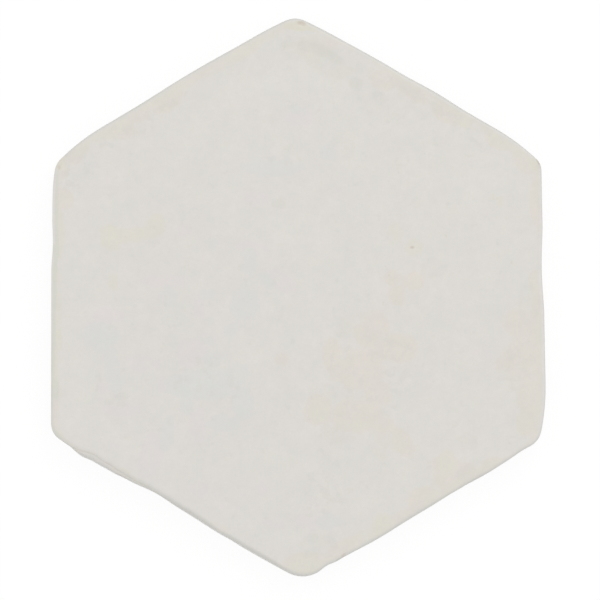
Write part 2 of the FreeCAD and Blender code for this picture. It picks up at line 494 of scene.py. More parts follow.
face_rim = ring_grid(angle, thickness, lip + arris_width, 1.0)
arris_foot = face_height(face_rim[..., 0], face_rim[..., 1]) - arris_drop
lip_fall = LEAST_FALL + LIP_STEEPNESS * lip
lip_foot = arris_foot - lip_fall
rise, run = rolled_edge(steps(0, 1, LIP_RINGS), LIP_BEVEL)
wall_height = np.concatenate([
    np.broadcast_to(steps(BED_EDGE_RADIUS, FOOT_TOP, FOOT_RINGS), (FOOT_RINGS, len(angle))),
    FOOT_TOP + (lip_foot - FOOT_TOP) * steps(0, 1, WALL_RINGS),
    lip_foot + lip_fall * rise,
])
drawn_in = np.concatenate([np.zeros((FOOT_RINGS + WALL_RINGS, 1)), run])
# The trails grow from an eighth to three eighths of the height, and end in the last millimetre.
trails = 0.5 + 0.5 * waves(foot * angle, TRAIL_SQUASH * wall_height, TRAIL_WAVE, WAVE_SEED + 3)
fade = np.clip(4 * wall_height / thickness - 0.5, 0, 1) * np.clip((arris_foot - wall_height) / MM, 0, 1)
trail_inset = TRAIL_DEPTH * np.clip(trails, 0, 1) * fade
wall = ring_grid(angle, wall_height, lip * drawn_in + behind_the_glaze(wall_height) + trail_inset, 1.0)
print("rings of the wall:", len(wall), "lip's foot from", round(lip_foot.min() / MM, 2), "mm up")

# %% Rings of the arris
ARRIS_RINGS = 10

rise, run = rolled_edge(steps(0, 1, ARRIS_RINGS), arris_bevel)
arris = ring_grid(angle, arris_foot + arris_drop * rise, lip + arris_width * run, 1.0)
print("rings of the arris:", len(arris))

# %% [markdown]
# ## The face's rings
# The face is its own edge shrunk towards the centre. The rings are close together in the outer millimetres,
# where the rim is painted, and about as far apart as the rays elsewhere. A few more rings cross each small
# fault, so that its dent is a real one.

# %% Rings of the face
RIM_BAND = 8 * MM
RIM_STEP = 0.45 * MM
FACE_STEP = 2.3 * MM
FAULT_RINGS = 7
FAULT_REACH = 2.5 * MM  # how far below the top a fault at the edge reaches down the wall

rim_radius = np.hypot(arris[-1, :, 0], arris[-1, :, 1])
mean_radius = rim_radius.mean()
inner_radius = mean_radius - RIM_BAND
shares = [1 - np.arange(1, RIM_BAND / RIM_STEP) * RIM_STEP / mean_radius]
shares.append(np.linspace(inner_radius, FACE_STEP, int(inner_radius / FACE_STEP)) / mean_radius)
for at, half_length, *_ in FAULTS.values():
    distance = np.hypot(*at) * MM
    rim = np.interp(np.arctan2(at[1], at[0]) % (2 * np.pi), angle, rim_radius)
    if distance < rim - RIM_BAND:
        shares.append((distance + np.linspace(-1, 1, FAULT_RINGS) * half_length * MM) / rim)
shares = np.unique(np.round(np.concatenate(shares), 5))[::-1]
face = arris[-1] * shares[:, None, None]
face[..., 2] = face_height(face[..., 0], face[..., 1])
print("rings of the face:", len(face))

# %% All the rings, with the faults pressed in
rings = np.concatenate([bed, bed_edge, wall, arris, face])
near_top = np.clip((rings[..., 2] - thickness + FAULT_REACH) / MM, 0, 1)
rings[..., 2] -= fault_dent(rings[..., 0], rings[..., 1]) * near_top
print("rings:", len(rings), "triangles:", 2 * len(rings) * len(angle))

# %% [markdown]
# ## The skin
# Rings of points become quads between neighbours, and a point at each centre closes the skin with
# triangles. The order of each quad's corners makes every face point outwards.


# %% The mesh
def skin_mesh(name, rings, first, last):
    """A closed mesh: quads between each ring and the next, and triangles to a first and a last point."""
    count, rays = rings.shape[:2]
    points = np.concatenate([rings.reshape(-1, 3), [first, last]])
    ring, ray = np.meshgrid(np.arange(count - 1), np.arange(rays), indexing="ij")
    following = (ray + 1) % rays
    here, above = ring * rays, (ring + 1) * rays
    quads = np.stack([here + ray, here + following, above + following, above + ray], -1).reshape(-1, 4)
    around, after = np.arange(rays), (np.arange(rays) + 1) % rays
    first_fan = np.stack([np.full(rays, count * rays), after, around], -1)
    top = (count - 1) * rays
    last_fan = np.stack([np.full(rays, count * rays + 1), top + around, top + after], -1)
    mesh = bpy.data.meshes.new(name)
    mesh.from_pydata(points.tolist(), [], quads.tolist() + first_fan.tolist() + last_fan.tolist())
    mesh.polygons.foreach_set("use_smooth", np.ones(len(mesh.polygons), bool))
    mesh.update()
    return mesh


top_centre = (0.0, 0.0, float(face_height(np.zeros(1), np.zeros(1))[0]))
tile_mesh = skin_mesh("glazed_tile", rings, (0.0, 0.0, 0.0), top_centre)
tile = bpy.data.objects.new("glazed_tile", tile_mesh)
bpy.context.scene.collection.objects.link(tile)
print("vertices:", len(tile_mesh.vertices), "faces:", len(tile_mesh.polygons))

# %% [markdown]
# ## Where the glaze is thick, thin or speckled, and where light and shade are painted
# A glaze like this looks cool where it pooled thickly, and warm or yellow where it ran thin and the clay
# shows through. A texture over the whole face could be random, but this tile has its own patches. So they
# are painted on the points, as one number each, and the material reads them and breaks up their borders
# with noise. Each patch is an oval: centre (x, y), half length, half width in millimetres, turn in degrees,
# strength.

# %% Thick, cool patches, and mauve ones round them
THICK_PATCHES = [
    ((-60, -12), 5.5, 5, 0, 1.0),
    ((-56, -22), 2.8, 8, 5, 1.0),
    ((-29, -26.5), 12, 5, 0, 1.15),
    ((-34, -33), 2.5, 3, 0, 0.9),
    ((-17, -32), 3.5, 5, 0, 1.0),
    ((-23, -38), 5.5, 3, 0, 1.0),
    ((-26, -16.5), 5, 5, 0, 0.62),
    ((-18.5, -23), 4.5, 4, 0, 0.66),
    ((-16, -2.5), 5, 5, 0, 1.0),
    ((-20.5, -10), 2.8, 2.5, 0, 0.9),
    ((-15, 11), 3, 4.5, 0, 1.0),
    ((-9.5, 4.5), 2, 3, 0, 0.9),
    ((-39.5, 0.5), 3, 3.5, 0, 0.95),
    ((-28, 1), 3, 2, 20, 0.8),
    ((-25, 16), 2.5, 2, 0, 0.8),
    ((-7.5, 39.5), 10, 2.8, 0, 1.2),
    ((9, 44), 2.6, 3, 0, 0.9),
    ((0, 57), 2.8, 2, 0, 1.0),
    ((9, -68), 4.5, 2.6, 0, 1.0),
    ((-40, -41), 2.8, 6, -10, 0.95),
]
MAUVE_PATCHES = [
    ((-32.5, -17), 5, 5.5, 0, 1.1),
    ((-48, -20), 6, 2.8, 0, 1.0),
    ((-57, -5.5), 5.5, 3, 0, 1.0),
    ((-60, -27), 2.4, 6, 0, 0.9),
    ((-54, -34), 7, 2.6, 0, 1.0),
    ((-41, -25), 1.8, 6, 0, 0.9),
    ((-30.5, -39), 3, 7, 0, 1.0),
    ((-44.5, -47), 4, 9, -15, 1.0),
    ((-40, 5), 8, 2.4, 0, 1.0),
    ((-35, 20), 3, 2.5, 0, 0.8),
    ((-14, 15), 6, 2.6, -15, 1.0),
    ((-5, 5), 3, 6, 50, 1.0),
    ((-30.5, -3.5), 2.8, 3.4, 0, 1.0),
    ((-20.5, -34), 2.8, 2.4, 0, 0.6),
    ((-30, -58), 3, 2.6, 0, 0.8),
    ((-11, -58), 2.6, 2.6, 0, 0.8),
    ((-4, -68), 9, 2.4, 0, 1.0),
    ((4, -66), 2.6, 6.5, 0, 0.9),
    ((0, 54.5), 4.5, 3, 0, 1.0),
    ((-12.5, 30), 4.2, 2.8, 0, 1.0),
]
print("thick and mauve patches:", len(THICK_PATCHES) + len(MAUVE_PATCHES))

# %% Warm patches, where the glaze is thinner
WARM_PATCHES = [
    ((10, -17), 2.8, 5.5, 0, 1.2),
    ((23.5, -9), 4.5, 6, 0, 1.0),
    ((31, -15.5), 5.5, 5, 0, 1.1),
    ((19, -22), 8, 7, 0, 1.1),
    ((6, -34), 4.5, 5, 0, 1.2),
    ((17.5, -36), 8.5, 5.5, 0, 1.1),
    ((25, -45), 3, 5, 0, 0.8),
    ((32, -44), 3, 5.5, 30, 1.0),
    ((30, 0.5), 3, 3.5, 0, 1.1),
    ((35, 5), 3, 3, 0, 1.0),
    ((67, -8), 6, 5, 0, 0.9),
    ((67.5, -18), 6.5, 7, 0, 1.0),
    ((70.5, -29), 4.2, 9, 0, 1.0),
    ((28.5, 6), 2.4, 2.6, 0, 1.2),
    ((24, -29), 5, 4.5, 0, 1.0),
    ((24.5, -16), 3.5, 4, 0, 1.0),
    ((11.5, -22.5), 3, 3.5, 0, 1.0),
    ((26, -39), 4, 3, 0, 1.0),
    ((61, -20), 2, 3, 0, 0.8),
    ((20, -11), 3.5, 4, 0, 1.2),
    ((-5, -19), 2.5, 2.5, 0, 1.0),
    ((69, -38), 3, 4, 0, 1.1),
]
# Warm places along the rim, as it goes round anticlockwise from the right side.
WARM_RIM_PATCHES = [
    ((72.3, -12), 2.5, 14, 0, 1.1),
    ((72, 5), 2.5, 4, 0, 1.2),
    ((72, 30), 2, 9, 0, 1.0),
    ((69, 41), 5, 3.5, -45, 1.0),
    ((60, 47.5), 4.5, 2.5, -25, 1.0),
    ((45, 56), 5, 3.5, -30, 1.0),
    ((35, 62), 6, 2.5, -28, 1.0),
    ((31, 66.5), 4, 2.5, -28, 1.2),
    ((26, 66), 5, 3.5, -20, 0.9),
    ((14, 68.5), 2.5, 2.5, 0, 0.7),
    ((4, 76), 7, 4, 0, 0.7),
    ((10, 77.5), 3, 2.5, -30, 0.8),
    ((0.5, 83), 3, 1.6, -10, 1.3),
    ((-16, 75), 5, 2.6, 30, 0.9),
    ((-25, 70), 5, 2.5, 30, 0.8),
    ((-40, 60), 6, 4, 35, 1.0),
    ((-48, 56), 4, 3, 35, 1.0),
    ((-53, 52), 4, 4.5, 0, 1.0),
    ((-68, 43), 3, 3, 0, 1.1),
    ((-72, 39), 2.6, 3.5, 0, 1.0),
    ((-71.5, 30), 3.5, 3.5, 0, 1.3),
    ((-24, -70), 4, 2, -30, 0.8),
    ((3, -81), 8, 4, 0, 1.2),
    ((14, -76), 7, 3, 28, 1.0),
    ((28, -70), 8, 4, 30, 1.0),
    ((31, -67.5), 4, 3, 30, 1.1),
    ((38, -62), 5, 5, 30, 1.2),
    ((45.5, -54), 5, 7.5, 15, 1.1),
    ((58, -51), 4, 2.5, 30, 1.0),
    ((51, -52.5), 3, 3, 0, 1.0),
]
print("warm patches:", len(WARM_PATCHES) + len(WARM_RIM_PATCHES))

# %% Yellow patches, where it is thinner still
YELLOW_PATCHES = [
    ((-67.5, -46.3), 1.5, 0.9, -45, 1.0),
    ((-52.5, -52.8), 1.8, 1.0, -30, 1.2),
    ((-48, -56.3), 2, 0.8, -30, 1.2),
    ((-50, 19), 10, 2.5, 5, 0.85),
    ((-43, 22), 3, 4, 0, 1.0),
    ((-57, 18), 3.5, 4.5, 20, 1.0),
    ((-56, 5), 2.5, 3, 0, 0.8),
    ((35, 15), 3, 3, 0, 1.0),
    ((29, 19), 3, 4, 0, 0.7),
    ((6, -35), 3.5, 3, 0, 0.9),
    ((16, -39), 6, 2, 0, 0.9),
    ((30, -44), 3, 4, 30, 0.9),
    ((68, -38), 2.5, 4, 0, 0.75),
    ((-71.5, 30.5), 2, 2, 0, 0.8),
    ((-46, 60), 5, 2.5, 32, 1.0),
    ((-60, 49), 3, 2.5, 30, 0.8),
    ((-18, 74), 5, 2.5, 30, 1.0),
    ((4, 75), 5, 3, 0, 0.6),
    ((41, -61), 3.5, 3, 30, 0.9),
    ((19.5, -71.5), 3.5, 1.5, 28, 0.6),
    ((72.3, 5), 1.5, 3, 0, 0.9),
    ((-72.6, 19.5), 1.8, 8.5, 0, 1.15),
    ((-72.8, -13), 1.5, 4, 0, 1.1),
    ((-66, 45.5), 3.5, 2.5, 35, 1.1),
    ((67, 44.5), 2.5, 2.5, -35, 1.1),
    ((50, 54), 3.5, 2.5, -30, 1.0),
    ((61, 47.5), 4, 2.2, -28, 1.0),
    ((72, 40), 2, 2.5, 0, 1.0),
    ((3, -82.5), 7, 3, 0, 1.1),
    ((26, -69), 4, 4, 0, 1.0),
    ((45, -50), 3, 5, 0, 0.8),
]
# The glaze is thinnest and most yellow round the worn corners.
DEEP_PATCHES = [
    ((-0.8, 82.3), 4.5, 1.5, -8, 1.2),
    ((4, 81.8), 2, 1.2, -25, 0.9),
    ((72.3, 40.8), 2.0, 2.6, 0, 1.1),
    ((-71.9, 41.2), 1.4, 3, -20, 1.0),
    ((3, -83.2), 4, 1.2, 0, 0.9),
]
# Short olive stretches along the left and the upper left edge.
OLIVE_PATCHES = [
    ((-73.5, 14), 1.2, 3, 0, 0.9),
    ((-73.5, -28), 1.2, 4, 0, 0.8),
    ((-48.7, 58.7), 7, 1.0, 30, 1.3),
]
print("yellow patches:", len(YELLOW_PATCHES) + len(DEEP_PATCHES) + len(OLIVE_PATCHES))

# %% Lighter places and painted light, painted shade in the crease, dull and speckled places
# Lighter places. The two below the crease at the top are painted light on its lit slope, and the others are a
# little lighter than the glaze around them.
PAINTED_LIGHT_AND_PALE_PATCHES = [
    ((-6, 63), 13, 6, 10, 0.8),
    ((7, 62), 8, 7, 0, 0.75),
    ((56, 36), 10, 18, 20, 0.6),
    ((-62, -41), 14, 6, -35, 0.9),
    ((-64.5, -28), 4, 8, 0, 0.85),
    ((-69.5, 33), 3, 4.5, 0, 1.1),
    ((-68.5, 9), 3, 8, 0, 0.62),
    ((-52, 28), 9, 6, 0, 0.62),
    ((-57, -33), 6, 5, 0, 0.8),
    ((-47, -45), 6, 4, 0, 0.8),
    ((-50, -5), 5, 4, 0, 0.8),
    ((31, -25), 5, 4, 0, 0.8),
    ((64.5, -18), 3, 3, 0, 1.0),
    ((-31, -19), 4, 4, 0, 1.0),
    ((48, 30), 4, 3, 0, 1.0),
    ((12.4, -78.4), 1, 1, 0, 1.2),
]
# Painted shade in the shallow crease in the corner at the top and on the hollows beside it, a little
# olive-grey.
PAINTED_CREASE_SHADE = [
    ((-3, 76.6), 3, 1.6, 0, 0.75),
    ((2.5, 76.2), 3.5, 2.0, -8, 0.98),
    ((6.5, 75), 4, 2.2, -22, 0.90),
    ((11, 72.6), 4, 1.8, -35, 0.86),
    ((14.5, 70.3), 2.5, 1.3, -30, 0.78),
    ((3, 74.5), 11, 5, -15, 0.60),
    ((17.5, 65), 2.6, 2.2, -30, 0.74),
    ((19.5, 60), 2.2, 2.4, 0, 0.70),
    ((24.5, 60.5), 3, 2.4, -20, 0.76),
    ((23, 67.5), 4, 2.2, -35, 0.60),
    ((31.5, 64), 6, 2.2, -35, 0.64),
    ((36, 61.8), 2.5, 1.8, -30, 0.74),
    ((42, 57.2), 3, 1.8, -40, 0.64),
    ((-19, 71.5), 4, 2, 30, 0.66),
]
# Places that are a little duller than the rest.
DULL_PATCHES = [
    ((70, -2), 4, 8, 0, 0.66),
    ((72, 37), 2.5, 4, 0, 0.62),
    ((55, 52), 4.5, 2.4, -30, 0.66),
    ((22, 58), 5, 4, 0, 0.62),
    ((33, 60), 4, 3, -30, 0.62),
    ((66, -26), 3, 3, 0, 0.62),
    ((-6, 29), 3, 2.5, 0, 0.60),
    ((10, 69), 8, 3, -20, 0.60),
    ((-18, 70), 5, 4, 30, 0.58),
    ((-67, 44), 4.5, 3.5, 45, 0.64),
    ((18, -9), 8, 6, 0, 0.58),
    ((7.5, -29.5), 5, 5, 0, 0.62),
    ((12, -41), 8, 4, 0, 0.58),
    ((6, -75), 7, 4, 0, 0.62),
    ((53, -53), 7, 4, 30, 0.64),
    ((51, -44), 4, 4, 0, 0.60),
    ((36, 28), 2.5, 3, 0, 0.58),
    ((13, 45), 5, 5, 0, 0.58),
    ((41, 9), 5, 4, 0, 0.58),
    ((22, 40), 4, 3, 0, 0.58),
    ((29, 55), 6, 4, -30, 0.58),
    ((17, 70), 4, 2.5, -30, 0.62),
    ((-12, 71), 6, 4, 20, 0.58),
    ((-24, -48), 3.5, 3, 0, 0.60),
    ((-53.5, -31), 2.5, 3, 0, 0.68),
]
SPECKLED_PLACES = [
    ((-27, -25), 11, 11, 0, 0.8),
    ((22, -21), 13, 14, 30, 0.8),
    ((7, -56), 8, 12, 0, 0.9),
    ((-57, -28), 6, 5, 0, 0.8),
    ((-50, 52), 17, 4, 30, 1.0),
    ((-68, 38), 6, 6, 0, 0.8),
    ((45, 55), 20, 4, -30, 0.8),
    ((68, -17), 5, 12, 0, 0.7),
    ((-3, 42), 9, 5, 0, 0.6),
    ((0, -79), 14, 5, 0, 0.8),
]
print("light, dark and dull patches:", len(PAINTED_LIGHT_AND_PALE_PATCHES) + len(PAINTED_CREASE_SHADE) + len(DULL_PATCHES))


# %% Painting the patches
def patches(x, y, places):
    """How strongly each point lies in the patches: 1 well inside an oval, a half on it, none far outside it.

    It falls from 1 to 0 between 0.75 and 1.25 times the oval's size.
    """
    total = np.zeros_like(x)
    for at, half_length, half_width, turn, strength in places:
        c, s = np.cos(np.radians(turn)), np.sin(np.radians(turn))
        right, up = x / MM - at[0], y / MM - at[1]
        distance = np.hypot((right * c + up * s) / half_length, (up * c - right * s) / half_width)
        total = np.maximum(total, strength * np.clip(2.5 - 2 * distance, 0, 1))
    return total


def paint(name, numbers, at_bed=0, at_top=0):
    """Puts one number on each point of the skin, and on its two middle points, for a material to read."""
    attribute = tile_mesh.attributes.new(name, "FLOAT", "POINT")
    numbers = np.concatenate([numbers.ravel(), [at_bed, at_top]]).astype(np.float32)
    attribute.data.foreach_set("value", numbers)
    print("painted", name, "on", int((numbers > 0.5).sum()), "points")


x, y, z = rings[..., 0], rings[..., 1], rings[..., 2]
on_top = z > thickness / 2
paint("thick", patches(x, y, THICK_PATCHES) * on_top)
paint("mauve", patches(x, y, MAUVE_PATCHES) * on_top)
# The dark number: painted shade in the crease and hollows at the top, and the dull places.
paint("dark", patches(x, y, PAINTED_CREASE_SHADE + DULL_PATCHES) * on_top)
paint("speckled", patches(x, y, SPECKLED_PLACES) * on_top)

# %% [markdown]
# ## The rim
# Molten glaze draws back from an edge. Ovals could follow it, but a band at a set distance from the edge
# follows every waver of it. The face's outer millimetres are warm on most sides, orange and yellow by
# turns, and a few places along them are warmer still. The arris itself has the thinnest glaze. On the right
# and the left it is light, and a thin olive line runs just inside it: the glaze's olive tint with painted
# shade where the face turns down into the arris, most of all on the left. How strong each of these is
# differs from side to side, and so does the warm band's width, so they have a pair of values a side, as the
# arris has.

# %% Bands along the edge
RIM_WIDTH = np.array([(2.5, 2.0), (2.5, 2.0), (3.0, 2.5), (2.5, 2.5), (0.6, 1.0), (2.5, 2.5)]) * MM
RIM_WAVER = 0.6  # how much that width wavers, as a share of itself
RIM_WAVE = 24 * MM
TURN_WAVE = 20 * MM  # about how long an orange stretch and a yellow one are together
TURN_OVERLAP = 0.7  # how much of each shows halfway between them


def band_at(depth, width):
    """1 within half a width of where the depth is 0, 0 from one and a half widths off, straight between."""
    return np.clip(1.5 - abs(depth) / width, 0, 1)


from_edge = edge_radius(angle, thickness, lip) - np.hypot(x, y)
rim = band_at(from_edge, by_side(RIM_WIDTH) * (1 + RIM_WAVER * waves(x, y, RIM_WAVE, WAVE_SEED + 4)))
turns = waves(x, y, TURN_WAVE, WAVE_SEED + 6)
warm_rim = rim * np.clip(TURN_OVERLAP + turns, 0, 1)
yellow_rim = rim * np.clip(TURN_OVERLAP - turns, 0, 1)
print("points on the warm band:", int((rim > 0.5).sum()))

# %% The light edge, and the warm and yellow rim inside it
LIGHT_EDGE_WIDTH = 0.9 * MM
LIGHT_EDGE = np.array([(1, 1), (0, 0), (0, 0), (0.9, 0.2), (0, 0), (0, 0)])

light_edge = band_at(from_edge, LIGHT_EDGE_WIDTH) * by_side(LIGHT_EDGE)
warm = np.maximum(patches(x, y, WARM_PATCHES + WARM_RIM_PATCHES), warm_rim) * (1 - light_edge)
yellow = np.maximum(patches(x, y, YELLOW_PATCHES), yellow_rim) * (1 - light_edge)
# The light number: the lighter places, with the painted light among them, and the light edge.
paint("light", np.maximum(patches(x, y, PAINTED_LIGHT_AND_PALE_PATCHES), light_edge) * near_top)
paint("warm", warm * near_top)
paint("yellow", yellow * near_top)
paint("deep", patches(x, y, DEEP_PATCHES) * near_top)

# %% Thin glaze on the arris and round the faults, and the olive line inside it, partly painted shade
THIN_WIDTH = 1.3 * MM
THIN = np.array([(0.4, 0.4), (1.0, 1.0), (0.9, 1.0), (0.3, 0.4), (0.6, 1.0), (1.0, 0.8)])
HALO = 1.3  # how many times larger than its fault a ring of thin glaze is
OLIVE_PLACE = np.array([(1, 1), (1, 1), (1, 1), (1.4, 0.6), (0.9, 1), (1, 1)]) * MM  # inside the edge
OLIVE_WIDTH = 0.7 * MM
OLIVE_AND_SHADE = np.array([(0.6, 0.6), (0.4, 0.4), (0.3, 0.3), (1.2, 1.0), (0.5, 0.5), (0.4, 0.4)])

thin = band_at(from_edge, THIN_WIDTH) * by_side(THIN)
halos = [(at, HALO * long, HALO * wide, turn, share) for at, long, wide, turn, _, share in FAULTS.values()]
# The olive line: the glaze's olive tint, with painted shade where the face turns down into the arris.
olive_and_shade = band_at(from_edge - by_side(OLIVE_PLACE), OLIVE_WIDTH) * by_side(OLIVE_AND_SHADE)
paint("thin", np.maximum(thin, patches(x, y, halos)) * near_top)
paint("olive_and_shade", np.maximum(olive_and_shade, patches(x, y, OLIVE_PATCHES)) * near_top)

# %% Bare clay, below the glaze line and in the faults
BARE_BLEND = 0.1 * MM  # over how much height the glaze gives way to the clay

foot_bare = np.clip((glaze_line - z) / BARE_BLEND + 0.5, 0, 1)
paint("bare", np.maximum(foot_bare, fault_bare(x, y) * near_top), at_bed=1)

# %% [markdown]
# ## The glaze
# One material covers the tile, because one firing made it. It could be several materials with borders
# between them, but glaze has no borders. So its colour starts from the base glaze and goes towards one tint
# after another by the painted numbers: a lighter one, partly painted light, then mauve and a cool grey for
# thick glaze, warm, yellow and a deeper yellow for thin glaze, a duller one and olive along the arris, the
# olive partly painted shade, and last a dark one for the painted shade in the crease. Noise is added to
# each number first, which makes its patches ragged.

# %% Colours
GLAZE = (0.7185, 0.6940, 0.6590)
CLAY = (0.615, 0.532, 0.462)
DARK_CLAY = (0.500, 0.440, 0.360)

# The painted numbers, with the colour that each gives, how much of it shows at most, and how ragged its
# border is. Light is partly painted light, olive partly painted shade, and dark is painted shade in the
# crease as well as the colour of the dull places and the specks.
TINTS = {
    "light": ((0.7295, 0.7055, 0.6680), 0.8, 1.2),
    "mauve": ((0.7190, 0.6845, 0.6650), 1.0, 1.8),
    "thick": ((0.6965, 0.6885, 0.6620), 1.0, 1.6),
    "warm": ((0.7195, 0.6820, 0.6260), 1.0, 1.6),
    "yellow": ((0.7125, 0.6910, 0.6205), 1.0, 1.6),
    "deep": ((0.7180, 0.6870, 0.5980), 1.0, 1.0),
    "thin": ((0.6910, 0.6790, 0.6430), 0.8, 1.5),
    "olive_and_shade": ((0.6660, 0.6640, 0.6020), 0.85, 1.2),
    "dark": ((0.6780, 0.6570, 0.6120), 1.0, 1.0),
}
print("tints:", ", ".join(TINTS))


# %% Node helpers
def node_adder(tree):
    """A short way to add a node to a tree: its kind, what its inputs are or link to, and its settings."""

    def add(kind, inputs=(), **settings):
        node = tree.nodes.new(kind)
        for key, value in settings.items():
            setattr(node, key, value)
        for socket, value in dict(inputs).items():
            if isinstance(value, bpy.types.NodeSocket):
                tree.links.new(value, node.inputs[socket])
            else:
                node.inputs[socket].default_value = value
        return node

    return add


def new_material(name):
    """An empty node material with its Principled shader, its way to add a node and its links."""
    material = bpy.data.materials.new(name)
    material.use_nodes = True
    tree = material.node_tree
    return material, tree.nodes["Principled BSDF"], node_adder(tree), tree.links


def times(add, a, b):
    """The product of two numbers."""
    return add("ShaderNodeMath", {0: a, 1: b}, operation="MULTIPLY").outputs["Value"]


def plus(add, a, b):
    """The sum of two numbers."""
    return add("ShaderNodeMath", {0: a, 1: b}, operation="ADD").outputs["Value"]


def band(add, value, low, high):
    """0 below low, 1 above high and smooth between them."""
    inputs = {"Value": value, "From Min": low, "From Max": high}
    return add("ShaderNodeMapRange", inputs, interpolation_type="SMOOTHSTEP").outputs["Result"]


def towards(add, share, colour_a, colour_b):
    """The first colour, moved towards the second by a share."""
    node = add("ShaderNodeMix", {"Factor": share}, data_type="RGBA", clamp_factor=True)
    for socket, colour in ((node.inputs[6], colour_a), (node.inputs[7], colour_b)):
        if isinstance(colour, bpy.types.NodeSocket):
            node.id_data.links.new(colour, socket)
        else:
            socket.default_value = (*colour, 1.0)
    return node.outputs[2]


# %% Painted numbers and noise, as nodes
def painted(add, name):
    """The number painted on the points under this name."""
    return add("ShaderNodeAttribute", attribute_name=name).outputs["Fac"]


def noise(add, place, scale, detail=3.0, roughness=0.5):
    """Smooth noise around 0.5, with scale in bumps to the metre."""
    inputs = {"Vector": place, "Scale": scale, "Detail": detail, "Roughness": roughness}
    return add("ShaderNodeTexNoise", inputs).outputs["Fac"]


# %% The tinted glaze
PATCH_BORDER = (0.35, 1.05)  # a patch shows from the first of these, and fully at the second
BLOTCHES = 130  # bumps to the metre
ISLANDS = 240
ISLAND_TINTS = ("mauve", "thick")  # their borders follow the finer noise

glaze, shader, add, links = new_material("satin_glaze")
place = add("ShaderNodeTexCoord").outputs["Object"]
blotches = noise(add, place, BLOTCHES, 4.0, 0.75)
islands = noise(add, place, ISLANDS, 3.0, 0.7)


def patchy(name, rough, reach):
    """The painted number with a ragged border: noise is added to it, and what is over the border counts."""
    ragged = plus(add, painted(add, name), times(add, plus(add, rough, -0.5), reach))
    return band(add, ragged, *PATCH_BORDER)


colour = GLAZE
for name, (tint, most, ragged) in TINTS.items():
    rough = islands if name in ISLAND_TINTS else blotches
    share = times(add, patchy(name, rough, ragged), most)
    colour = towards(add, share, colour, tint)
print("nodes with the tints:", len(glaze.node_tree.nodes))

# %% [markdown]
# ## Mottling and specks
# Under the patches the glaze is mottled at every scale by about the same small amount. Noise whose octaves
# all have the same strength gives that, where ordinary noise would look cloudy. The noise's colour output
# has three more such patterns, which give each spot a slight tinge of its own. Darker specks, a millimetre
# or two wide, are scattered thinly everywhere and lie thicker in the speckled places.

# %% Mottling and specks
MOTTLE_LENGTH = 11 * MM  # the longest of the mottling's waves
MOTTLE_OCTAVES = 4
MOTTLE = 0.10  # how much lighter its lightest spots are than its darkest
TINGE = 0.06  # how much each of red, green and blue is mottled by itself
SPECKS = 310  # bumps to the metre
SPECK = 0.50  # how much of the dark tint a speck has
SPECK_BORDER = (0.62, 0.74)  # a speck shows from the first of these, and fully at the second
SPECKS_THICKER = 0.12  # how much lower that border is in the speckled places

spots = noise(add, place, SPECKS, 2.0, 0.7)
density = times(add, painted(add, "speckled"), SPECKS_THICKER)
specks = times(add, band(add, plus(add, spots, density), *SPECK_BORDER), SPECK)
colour = towards(add, specks, colour, TINTS["dark"][0])

mottling = noise(add, place, 1 / MOTTLE_LENGTH, MOTTLE_OCTAVES, 1.0)
tinge = mottling.node.outputs["Color"]
shade = add("ShaderNodeMapRange", {"Value": mottling, "To Min": 1 - MOTTLE / 2, "To Max": 1 + MOTTLE / 2})
shade = plus(add, shade.outputs["Result"], -TINGE / 2)
shades = add("ShaderNodeVectorMath", {0: tinge, 1: (TINGE,) * 3, 2: shade}, operation="MULTIPLY_ADD")
mottled = add("ShaderNodeVectorMath", {0: colour, 1: shades.outputs["Vector"]}, operation="MULTIPLY")
print("nodes with the mottling:", len(glaze.node_tree.nodes))

# %% [markdown]
# ## Bare clay
# Buff clay, with darker grains of sand in it, shows in the chips, below the glaze line and over the bed. It
# could be a second material, but then the border would have to follow the mesh's faces. A painted number
# mixes the two instead.

# %% Clay colour
SAND = 900  # grains to the metre
SAND_BORDER = (0.45, 0.75)

clay_noise = noise(add, place, SAND, 5.0, 0.65)
clay_colour = towards(add, band(add, clay_noise, *SAND_BORDER), CLAY, DARK_CLAY)
bare = painted(add, "bare")
links.new(towards(add, bare, mottled.outputs["Vector"], clay_colour), shader.inputs["Base Color"])
print("nodes with the clay:", len(glaze.node_tree.nodes))

# %% [markdown]
# ## Satin sheen, and the skin of the glaze
# The glaze is satin and the clay quite dull. The skin of the glaze is uneven at a scale of a few
# millimetres, by hundredths of one. That and the clay's sand are far smaller than a pixel, so they are bump
# and not geometry.

# %% Sheen and skin
SATIN = (0.30, 0.40)  # the glaze's roughness, from its smoothest blotches to its roughest
BLOTCH_RANGE = (0.3, 0.7)  # the noise is nearly always between these
CLAY_ROUGHNESS = 0.9
GLAZE_IOR = 1.5
SKIN = 330  # bumps to the metre
SKIN_RELIEF = 0.02 * MM
SAND_RELIEF = 3.0  # how many times stronger the clay's sand is

sheen = add("ShaderNodeMapRange", {"Value": blotches})
for socket, value in zip(("From Min", "From Max", "To Min", "To Max"), BLOTCH_RANGE + SATIN):
    sheen.inputs[socket].default_value = value
roughness = add("ShaderNodeMix", {"Factor": bare, 2: sheen.outputs["Result"], 3: CLAY_ROUGHNESS})
links.new(roughness.outputs[0], shader.inputs["Roughness"])
shader.inputs["IOR"].default_value = GLAZE_IOR

sand = times(add, clay_noise, SAND_RELIEF)
relief = add("ShaderNodeMix", {"Factor": bare, 2: noise(add, place, SKIN, 2.0), 3: sand})
bump = add("ShaderNodeBump", {"Height": relief.outputs[0], "Distance": SKIN_RELIEF, "Strength": 1.0})
links.new(bump.outputs["Normal"], shader.inputs["Normal"])
print("nodes in the glaze:", len(glaze.node_tree.nodes))

# %% The tile takes the solid's place
tile_mesh.materials.append(glaze)
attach(tile, "root")
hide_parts("hexagon_tile")
print("materials on the tile:", [slot.name for slot in tile_mesh.materials])

